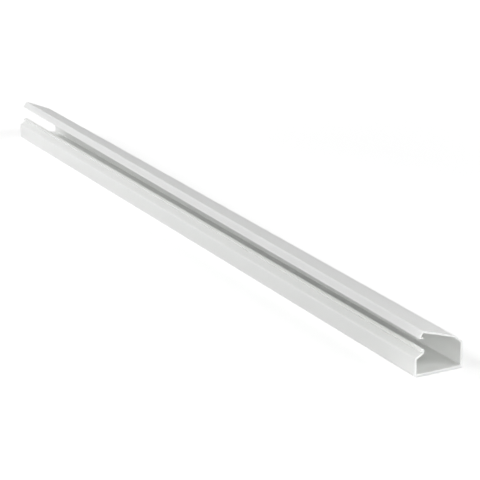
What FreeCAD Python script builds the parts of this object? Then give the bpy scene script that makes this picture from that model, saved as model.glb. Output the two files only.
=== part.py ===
import FreeCAD, Part
import math
import os

# One-piece latching cord cover raceway, extruded in rigid PVC and lying on its mounting floor.
# Millimetres. X runs along the length, +Y points to the hinged back wall, +Z points up.
# The origin is at the middle of the floor's underside.

# Whole section
length = 610.0
width = 32.0
shut_height = 19.0

# The unheld lid twists a little, so it stands further open at its -X end than at its +X end
near_opening_angle = 17.5
far_opening_angle = 23.5

# Thickness of each run of the wall
wall_thickness = 1.2
floor_thickness = 1.8
neck_thickness = 1.2
catch_thickness = 0.8
bevel_thickness = 1.0
lid_thickness = 1.2
flange_thickness = 0.8

# Front wall: it stands up to the shoulder, slants in to the neck, and folds out as the catch.
# The catch hangs below the shut lid by a fixed depth, so the wall under it follows the height.
catch_depth = 3.6
catch_reach = 1.5
catch_droop = 0.4
neck_height = 1.0
shoulder_run = 5.0
shoulder_rise = 2.7

# Back wall and the bevel that joins it to the lid at the living hinge
bevel_run = 7.0
bevel_drop = 2.7
hinge_groove_radius = 0.4
hinge_to_split = 1.0

# Front flange of the lid, and the barb on its foot that snaps in under the catch as far as the neck
flange_lean = 12.0
foot_lift = 0.9
latch_clearance = 0.15

# Rounding
bottom_front_radius = 1.6
bottom_back_radius = 0.8
shoulder_radius = 1.2
neck_radius = 0.2
fold_radius = 0.5
bevel_radius = 3.0
lid_front_radius = 0.9
barb_foot_radius = 0.3
catch_tip_radius = 0.25
barb_radius = 0.15
inner_radius = 0.5
sharp = 0.0


def point(y, z):
    """A point of the section, measured from the front wall's face and the floor's underside."""
    return FreeCAD.Vector(0, y, z)


def direction(degrees):
    """The unit vector at that angle above +Y."""
    return point(math.cos(math.radians(degrees)), math.sin(math.radians(degrees)))


def inward(start, end):
    """The unit normal on the left of a run from start to end, which is the channel's side."""
    run = end - start
    return point(-run.z, run.y).normalize()


def crossing(first, first_way, second, second_way):
    """Where two lines of the section meet, each given by a point and its direction."""
    turn = first_way.y * second_way.z - first_way.z * second_way.y
    gap = second - first
    share = (gap.y * second_way.z - gap.z * second_way.y) / turn
    return first + first_way * share


def offset_corners(corners, thicknesses):
    """The wall's other side: each run set in by its own thickness, and met at the corners."""
    ways = [(b - a).normalize() for a, b in zip(corners, corners[1:])]
    normals = [inward(a, b) for a, b in zip(corners, corners[1:])]
    starts = [a + n * t for a, n, t in zip(corners, normals, thicknesses)]
    inside = [starts[0]]
    for number in range(1, len(ways)):
        inside.append(crossing(starts[number - 1], ways[number - 1], starts[number], ways[number]))
    inside.append(corners[-1] + normals[-1] * thicknesses[-1])
    return inside


def rounded_face(corners, radii):
    """The face inside the corners, with a tangent arc of the given radius at each."""
    edges = []
    ends = []
    for number, corner in enumerate(corners):
        back = (corners[number - 1] - corner).normalize()
        ahead = (corners[(number + 1) % len(corners)] - corner).normalize()
        if radii[number] == sharp:
            ends.append((corner, corner))
            continue
        half = back.getAngle(ahead) / 2
        setback = radii[number] / math.tan(half)
        centre = corner + (back + ahead).normalize() * (radii[number] / math.sin(half))
        middle = centre + (corner - centre).normalize() * radii[number]
        start = corner + back * setback
        end = corner + ahead * setback
        ends.append((start, end))
        edges.append(Part.Arc(start, middle, end).toShape())
    for number, (start, end) in enumerate(ends):
        edges.append(Part.LineSegment(ends[number - 1][1], start).toShape())
    return Part.Face(Part.Wire(Part.__sortEdges__(edges)))


def hinge_place():
    """The living hinge, at the top of the back wall's outer face."""
    return point(width, shut_height - bevel_drop)


def split_place():
    """The back wall's outer face where the twisted lid takes over from the straight base."""
    return hinge_place() - point(0, hinge_to_split)


def opened(place, opening_angle):
    """Where a place on the shut lid is once the lid has swung open about the hinge."""
    turn = FreeCAD.Rotation(FreeCAD.Vector(1, 0, 0), -opening_angle)
    return hinge_place() + turn.multVec(place - hinge_place())


def catch_corners():
    """Outer corners of the catch and shoulder: catch's tip, neck's top, neck's foot, shoulder's foot."""
    neck_top = point(shoulder_run, shut_height - catch_depth)
    catch_tip = neck_top - point(catch_reach, catch_droop)
    neck_foot = neck_top - point(0, neck_height)
    shoulder_foot = neck_foot - point(shoulder_run, shoulder_rise)
    return [catch_tip, neck_top, neck_foot, shoulder_foot]


def shut_lid_corners():
    """Corners of the shut lid, whose flange and barb just clear the catch, the neck and the shoulder.

    The first list is the outside from the bevel's top to the flange's foot, and the second is the barb."""
    catch_tip, neck_top, neck_foot, shoulder_foot = catch_corners()
    flange_way = direction(90 - flange_lean)
    flange_inside = catch_tip + inward(catch_tip, neck_top) * catch_thickness - point(latch_clearance, 0)
    flange_outside = flange_inside - point(flange_thickness / math.cos(math.radians(flange_lean)), 0)
    under_catch = catch_tip - inward(catch_tip, neck_top) * latch_clearance
    over_shoulder = shoulder_foot - inward(neck_foot, shoulder_foot) * latch_clearance
    beside_neck = neck_top - point(latch_clearance, 0)
    catch_way = neck_top - catch_tip
    shoulder_way = neck_foot - shoulder_foot
    outside = [
        point(width - bevel_run, shut_height),
        crossing(flange_outside, flange_way, point(0, shut_height), direction(0)),
        crossing(flange_outside, flange_way, over_shoulder + point(0, foot_lift), shoulder_way),
    ]
    barb = [
        crossing(beside_neck, direction(90), over_shoulder, shoulder_way),
        crossing(beside_neck, direction(90), under_catch, catch_way),
        crossing(flange_inside, flange_way, under_catch, catch_way),
    ]
    return outside, barb


def base_face():
    """Section of the front wall with its catch, the floor and the back wall up to the split."""
    outer = catch_corners() + [point(0, 0), point(width, 0), split_place()]
    thicknesses = [
        catch_thickness, neck_thickness, wall_thickness, wall_thickness, floor_thickness, wall_thickness,
    ]
    outer_radii = [
        catch_tip_radius, neck_radius, neck_radius, shoulder_radius,
        bottom_front_radius, bottom_back_radius, sharp,
    ]
    inner_radii = [
        catch_tip_radius, fold_radius, fold_radius, inner_radius,
        inner_radius, inner_radius, sharp,
    ]
    inner = offset_corners(outer, thicknesses)
    return rounded_face(outer + inner[::-1], outer_radii + inner_radii[::-1])


def lid_face(opening_angle):
    """Section of the back wall above the split and the lid, with the lid open by that angle."""
    shut_outside, shut_barb = shut_lid_corners()
    outer = [split_place(), hinge_place()] + [opened(place, opening_angle) for place in shut_outside]
    barb = [opened(place, opening_angle) for place in shut_barb]
    thicknesses = [wall_thickness, bevel_thickness, lid_thickness, flange_thickness]
    outer_radii = [sharp, sharp, bevel_radius, lid_front_radius, barb_foot_radius]
    barb_radii = [barb_radius, barb_radius, barb_radius]
    inner_radii = [sharp, inner_radius, bevel_radius, inner_radius]
    inner = offset_corners(outer, thicknesses)[:-1]
    return rounded_face(outer + barb + inner[::-1], outer_radii + barb_radii + inner_radii[::-1])


def raceway():
    """The straight base and the slightly twisted lid as one piece, with the hinge's relief groove."""
    to_row = FreeCAD.Vector(-length / 2, -width / 2, 0)
    along = FreeCAD.Vector(length, 0, 0)
    base = base_face().extrude(along)
    far_wire = lid_face(far_opening_angle).OuterWire
    near_wire = lid_face(near_opening_angle).OuterWire.translated(along)
    lid = Part.makeLoft([far_wire, near_wire], True, True)
    groove = Part.makeCylinder(hinge_groove_radius, length, hinge_place(), along)
    body = base.fuse(lid).cut(groove)
    body.translate(to_row)
    return body


os.makedirs("parts", exist_ok=True)
shape = raceway()
shape.exportStep("parts/raceway.step")
print("solids", len(shape.Solids), "valid", shape.isValid(), "volume mm3", round(shape.Volume, 1))
print("box", shape.BoundBox)
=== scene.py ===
import math

import bpy
from mathutils import Matrix, Vector


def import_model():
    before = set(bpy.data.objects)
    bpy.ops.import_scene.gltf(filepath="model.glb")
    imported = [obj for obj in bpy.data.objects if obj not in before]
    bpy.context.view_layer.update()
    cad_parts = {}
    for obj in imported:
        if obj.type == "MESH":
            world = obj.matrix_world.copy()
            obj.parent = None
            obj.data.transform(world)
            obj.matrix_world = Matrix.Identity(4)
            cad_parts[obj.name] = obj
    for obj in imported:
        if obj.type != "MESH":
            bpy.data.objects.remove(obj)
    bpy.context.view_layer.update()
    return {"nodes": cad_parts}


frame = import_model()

# Looks for a length of one-piece cord cover raceway: satin off-white rigid PVC, cut square at both ends.
# Metres, in the model's own frame: +X along the length, -Y the latching front wall, +Z up.

# Camera, as the photograph was taken
PHOTO_SIDE = 480
CAMERA_FOCUS = 1955.0
CAMERA_AZIMUTH = 62.935
CAMERA_ELEVATION = 18.011
CAMERA_ROLL = -1.048
CAMERA_PLACE = (1.17541, -0.57008, 0.41808)
SENSOR_WIDTH = 36.0
CAMERA_SIGHT = 30.0

# Floor, backdrop and light
FLOOR_HALF_SIDE = 6.0
FLOOR_COLOUR = (0.90, 0.90, 0.90, 1.0)
FLOOR_ROUGHNESS = 1.0
FLOOR_GLOSS = 0.0
FLOOR_LIFT = (0.39, 0.86)
FLOOR_LIFT_REACH = (0.25, 1.60)
WORLD_LIGHT = 0.15
BACKDROP_WHITE = 1.0
WHITE = (1.0, 1.0, 1.0, 1.0)

# Soft boxes: the place, the side of the square, and the watts
FRONT_SOFTBOX = ((0.00, -1.53, 1.29), 1.0, 8.0)
FAR_FRONT_SOFTBOX = ((-1.11, -1.33, 1.00), 1.0, 20.0)
NEAR_BACK_SOFTBOX = ((1.39, 1.09, 0.94), 1.0, 16.0)
END_SOFTBOX = ((2.00, 0.00, 0.33), 0.64, 12.5)

# The plastic
FRESH_TINT = (0.918, 0.936, 0.912)
AGED_TINT = (0.904, 0.920, 0.893)
CLOUD_SCALE = (5.0, 26.0, 26.0)
CLOUD_DETAIL = 3.0
SATIN_ROUGHNESS = (0.49, 0.60)
SAWN_ROUGHNESS = 0.78
SURFACE_GLOSS = 0.35
WALL_GLOW = 1.0
WALL_GLOW_DEPTH = 0.0030
WALL_GLOW_BY_COLOUR = (1.0, 1.0, 1.0)

# Fine lines that the die draws along the length, and rubbed streaks beside them
STREAK_SCALE = (14.0, 170.0, 170.0)
STREAK_DETAIL = 4.0
DIE_LINE_SCALE = (0.9, 950.0, 950.0)
DIE_LINE_DETAIL = 2.0
DIE_LINE_DEPTH = 0.000012

# The two sawn ends: how squarely a face looks along the length to be one, and the saw's marks
END_FACING = 0.8
SAW_MARK_SCALE = (40.0, 2600.0, 500.0)
SAW_MARK_DETAIL = 2.0
SAW_MARK_DEPTH = 0.00003

# All the noises: how strong their finer detail is, and the middle span that most of their values are in
NOISE_ROUGHNESS = 0.6
NOISE_SPAN = (0.3, 0.7)


def node(tree, kind, place, **settings):
    """A shader node at a place on the sheet, with its plain settings and input values given by name."""
    made = tree.nodes.new(kind)
    made.location = place
    for name, value in settings.items():
        if hasattr(made, name):
            setattr(made, name, value)
        else:
            made.inputs[name].default_value = value
    return made


def stretched_noise(tree, place, coordinates, scale, detail):
    """Noise from nought to one on the object's own coordinates, with its own scale along each axis."""
    stretch = node(tree, "ShaderNodeMapping", place, vector_type="POINT", Scale=scale)
    tree.links.new(coordinates, stretch.inputs["Vector"])
    beside = (place[0] + stretch.width, place[1])
    noise = node(tree, "ShaderNodeTexNoise", beside, Scale=1.0, Detail=detail, Roughness=NOISE_ROUGHNESS)
    tree.links.new(stretch.outputs["Vector"], noise.inputs["Vector"])
    return noise.outputs["Fac"]


def spread(tree, place, value, low, high, span=NOISE_SPAN):
    """A value's span, such as the middle of a noise, stretched to go from low to high."""
    made = node(tree, "ShaderNodeMapRange", place)
    for name, number in zip(("From Min", "From Max", "To Min", "To Max"), (*span, low, high)):
        made.inputs[name].default_value = number
    tree.links.new(value, made.inputs["Value"])
    return made.outputs["Result"]


def socket(sockets, name, kind):
    """The socket of that name and kind: a mix node has one of each name for every kind of value."""
    return [one for one in sockets if one.name == name and one.type == kind][0]


def blended(tree, place, share, first, second):
    """Two colours mixed by a share."""
    mix = node(tree, "ShaderNodeMix", place, data_type="RGBA")
    tree.links.new(share, mix.inputs["Factor"])
    socket(mix.inputs, "A", "RGBA").default_value = (*first, 1.0)
    socket(mix.inputs, "B", "RGBA").default_value = (*second, 1.0)
    return socket(mix.outputs, "Result", "RGBA")


def chosen(tree, place, share, varying, plain):
    """A varying number where the share is nought, and a plain one where it is one."""
    mix = node(tree, "ShaderNodeMix", place, data_type="FLOAT")
    tree.links.new(share, mix.inputs["Factor"])
    tree.links.new(varying, socket(mix.inputs, "A", "VALUE"))
    socket(mix.inputs, "B", "VALUE").default_value = plain
    return socket(mix.outputs, "Result", "VALUE")


def sawn_ends(tree, coordinates):
    """One on the two cut faces, which look along the length, and nought on every drawn face."""
    parts = node(tree, "ShaderNodeSeparateXYZ", (-1300, 500))
    tree.links.new(coordinates.outputs["Normal"], parts.inputs["Vector"])
    along = node(tree, "ShaderNodeMath", (-1100, 500), operation="ABSOLUTE")
    tree.links.new(parts.outputs["X"], along.inputs[0])
    facing = node(tree, "ShaderNodeMath", (-900, 500), operation="GREATER_THAN")
    facing.inputs[1].default_value = END_FACING
    tree.links.new(along.outputs["Value"], facing.inputs[0])
    return facing.outputs["Value"]


def plastic():
    """Satin extruded PVC: faint lines along the length, slight clouds of tint, and matt sawn ends."""
    material = bpy.data.materials.new("rigid_pvc_satin")
    material.use_nodes = True
    tree = material.node_tree
    shader = tree.nodes["Principled BSDF"]
    shader.inputs["Specular IOR Level"].default_value = SURFACE_GLOSS
    shader.inputs["Subsurface Weight"].default_value = WALL_GLOW
    shader.inputs["Subsurface Scale"].default_value = WALL_GLOW_DEPTH
    shader.inputs["Subsurface Radius"].default_value = WALL_GLOW_BY_COLOUR

    coordinates = node(tree, "ShaderNodeTexCoord", (-1500, 0))
    place = coordinates.outputs["Object"]
    end_mask = sawn_ends(tree, coordinates)
    clouds = stretched_noise(tree, (-1300, 200), place, CLOUD_SCALE, CLOUD_DETAIL)
    streaks = stretched_noise(tree, (-1300, -100), place, STREAK_SCALE, STREAK_DETAIL)
    die_lines = stretched_noise(tree, (-1300, -400), place, DIE_LINE_SCALE, DIE_LINE_DETAIL)
    saw_marks = stretched_noise(tree, (-1300, -700), place, SAW_MARK_SCALE, SAW_MARK_DETAIL)

    tint = blended(tree, (-600, 300), spread(tree, (-800, 200), clouds, 0.0, 1.0), FRESH_TINT, AGED_TINT)
    tree.links.new(tint, shader.inputs["Base Color"])

    satin = spread(tree, (-800, -100), streaks, *SATIN_ROUGHNESS)
    roughness = chosen(tree, (-300, 0), end_mask, satin, SAWN_ROUGHNESS)
    tree.links.new(roughness, shader.inputs["Roughness"])

    lines = node(tree, "ShaderNodeBump", (-600, -400), Distance=DIE_LINE_DEPTH)
    tree.links.new(die_lines, lines.inputs["Height"])
    marks_height = node(tree, "ShaderNodeMath", (-600, -700), operation="MULTIPLY")
    tree.links.new(saw_marks, marks_height.inputs[0])
    tree.links.new(end_mask, marks_height.inputs[1])
    marks = node(tree, "ShaderNodeBump", (-300, -500), Distance=SAW_MARK_DEPTH)
    tree.links.new(marks_height.outputs["Value"], marks.inputs["Height"])
    tree.links.new(lines.outputs["Normal"], marks.inputs["Normal"])
    tree.links.new(marks.outputs["Normal"], shader.inputs["Normal"])
    return material


def seen_directly(tree):
    """One for a ray from the camera, a gloss or a glass, and nought for one that only lights a surface."""
    path = node(tree, "ShaderNodeLightPath", (-700, 300))
    gloss = node(tree, "ShaderNodeMath", (-500, 300), operation="MAXIMUM")
    tree.links.new(path.outputs["Is Camera Ray"], gloss.inputs[0])
    tree.links.new(path.outputs["Is Glossy Ray"], gloss.inputs[1])
    either = node(tree, "ShaderNodeMath", (-300, 300), operation="MAXIMUM")
    tree.links.new(gloss.outputs["Value"], either.inputs[0])
    tree.links.new(path.outputs["Is Transmission Ray"], either.inputs[1])
    return either.outputs["Value"]


def floor_material():
    """A pale matt floor. Where it is looked at, a little glow lifts it to white around the object's shadow.

    The glow grows away from the raceway, because the lamps' light falls off there."""
    material = bpy.data.materials.new("floor_white")
    material.use_nodes = True
    tree = material.node_tree
    shader = tree.nodes["Principled BSDF"]
    shader.inputs["Base Color"].default_value = FLOOR_COLOUR
    shader.inputs["Roughness"].default_value = FLOOR_ROUGHNESS
    shader.inputs["Specular IOR Level"].default_value = FLOOR_GLOSS
    shader.inputs["Emission Color"].default_value = WHITE
    coordinates = node(tree, "ShaderNodeTexCoord", (-900, -200))
    distance = node(tree, "ShaderNodeVectorMath", (-700, -200), operation="LENGTH")
    tree.links.new(coordinates.outputs["Object"], distance.inputs[0])
    glow = spread(tree, (-500, -200), distance.outputs["Value"], *FLOOR_LIFT, FLOOR_LIFT_REACH)
    lift = node(tree, "ShaderNodeMath", (-150, -200), operation="MULTIPLY")
    tree.links.new(seen_directly(tree), lift.inputs[0])
    tree.links.new(glow, lift.inputs[1])
    tree.links.new(lift.outputs["Value"], shader.inputs["Emission Strength"])
    return material


def floor():
    """The plain pale floor that the raceway lies on."""
    side = FLOOR_HALF_SIDE
    mesh = bpy.data.meshes.new("floor")
    corners = [(-side, -side, 0), (side, -side, 0), (side, side, 0), (-side, side, 0)]
    mesh.from_pydata(corners, [], [(0, 1, 2, 3)])
    made = bpy.data.objects.new("floor", mesh)
    bpy.context.scene.collection.objects.link(made)
    made.data.materials.append(floor_material())


def world():
    """Even studio light from all round, with a white backdrop."""
    sky = bpy.data.worlds.new("studio")
    sky.use_nodes = True
    bpy.context.scene.world = sky
    tree = sky.node_tree
    light = tree.nodes["Background"]
    light.inputs["Color"].default_value = WHITE
    light.inputs["Strength"].default_value = WORLD_LIGHT
    white = node(tree, "ShaderNodeBackground", (0, -200), Color=WHITE, Strength=BACKDROP_WHITE)
    mix = node(tree, "ShaderNodeMixShader", (300, 0))
    tree.links.new(seen_directly(tree), mix.inputs["Fac"])
    tree.links.new(light.outputs["Background"], mix.inputs[1])
    tree.links.new(white.outputs["Background"], mix.inputs[2])
    tree.links.new(mix.outputs["Shader"], tree.nodes["World Output"].inputs["Surface"])


def lamp(name, place, side, watts):
    """A square soft box that looks at the middle of the raceway and isn't itself seen."""
    light = bpy.data.lights.new(name, "AREA")
    light.shape = "SQUARE"
    light.size = side
    light.energy = watts
    made = bpy.data.objects.new(name, light)
    made.location = place
    made.rotation_euler = (-Vector(place)).to_track_quat("-Z", "Y").to_euler()
    made.visible_camera = False
    bpy.context.scene.collection.objects.link(made)
    return made


def camera():
    """The photograph's view, from its azimuth, elevation and roll."""
    azimuth = math.radians(CAMERA_AZIMUTH)
    elevation = math.radians(CAMERA_ELEVATION)
    roll = math.radians(CAMERA_ROLL)
    back = Vector((
        math.sin(azimuth) * math.cos(elevation),
        -math.cos(azimuth) * math.cos(elevation),
        math.sin(elevation),
    ))
    level_right = (-back).cross(Vector((0, 0, 1))).normalized()
    level_up = level_right.cross(-back)
    right = level_right * math.cos(roll) + level_up * math.sin(roll)
    up = level_up * math.cos(roll) - level_right * math.sin(roll)
    data = bpy.data.cameras.new("photo_camera")
    data.sensor_width = SENSOR_WIDTH
    data.lens = CAMERA_FOCUS / PHOTO_SIDE * SENSOR_WIDTH
    data.clip_end = CAMERA_SIGHT
    made = bpy.data.objects.new("photo_camera", data)
    turned = Matrix((right, up, back)).transposed().to_4x4()
    made.matrix_world = Matrix.Translation(CAMERA_PLACE) @ turned
    bpy.context.scene.collection.objects.link(made)
    bpy.context.scene.camera = made


bpy.context.scene.view_settings.view_transform = "Standard"
raceway = frame["nodes"]["raceway"]
raceway.data.materials[0] = plastic()

floor()
world()
camera()
lamp("front_softbox", *FRONT_SOFTBOX)
lamp("far_front_softbox", *FAR_FRONT_SOFTBOX)
lamp("near_back_softbox", *NEAR_BACK_SOFTBOX)
end_lamp = lamp("end_softbox", *END_SOFTBOX)

# Its glare would wash out the whole lid from the far end, where it is seen as in a mirror
end_lamp.visible_glossy = False
